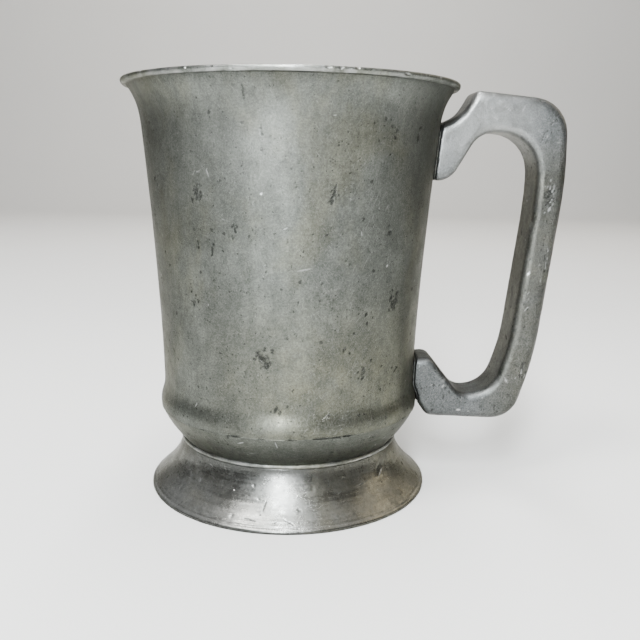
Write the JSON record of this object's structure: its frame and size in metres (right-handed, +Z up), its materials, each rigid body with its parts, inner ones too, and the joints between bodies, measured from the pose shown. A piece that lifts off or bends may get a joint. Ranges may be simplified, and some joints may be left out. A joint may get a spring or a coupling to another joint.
{
  "type": "tankard",
  "caption": "Footed drinking tankard in aged pewter: flared barrel lapped over a shallow bowl, hollow spread foot, solid angular cast handle.",
  "frame": {"origin": "centre of the foot's resting ring, on the barrel's axis, at table level", "axes": "+Z up along the barrel's axis towards the brim; +X from the axis towards the handle; +Y completes a right-handed frame"},
  "size_m": [0.1363, 0.1024, 0.1265],
  "materials": {
    "barrel_pewter": "aged satin pewter, dark pitting and stains",
    "bowl_pewter": "aged satin pewter, turned lines",
    "foot_pewter": "aged pewter, rubbed brighter, turned lines",
    "handle_pewter": "matt cast pewter with rubbed bright edges",
    "solder": "dull soft solder"
  },
  "bodies": {
    "root": {"barrel": "barrel_pewter", "bowl": "bowl_pewter", "foot": "foot_pewter", "handle": "handle_pewter", "barrel_seam_solder": "solder", "foot_solder": "solder", "upper_handle_solder": "solder", "lower_handle_solder": "solder"}
  },
  "joints": []
}
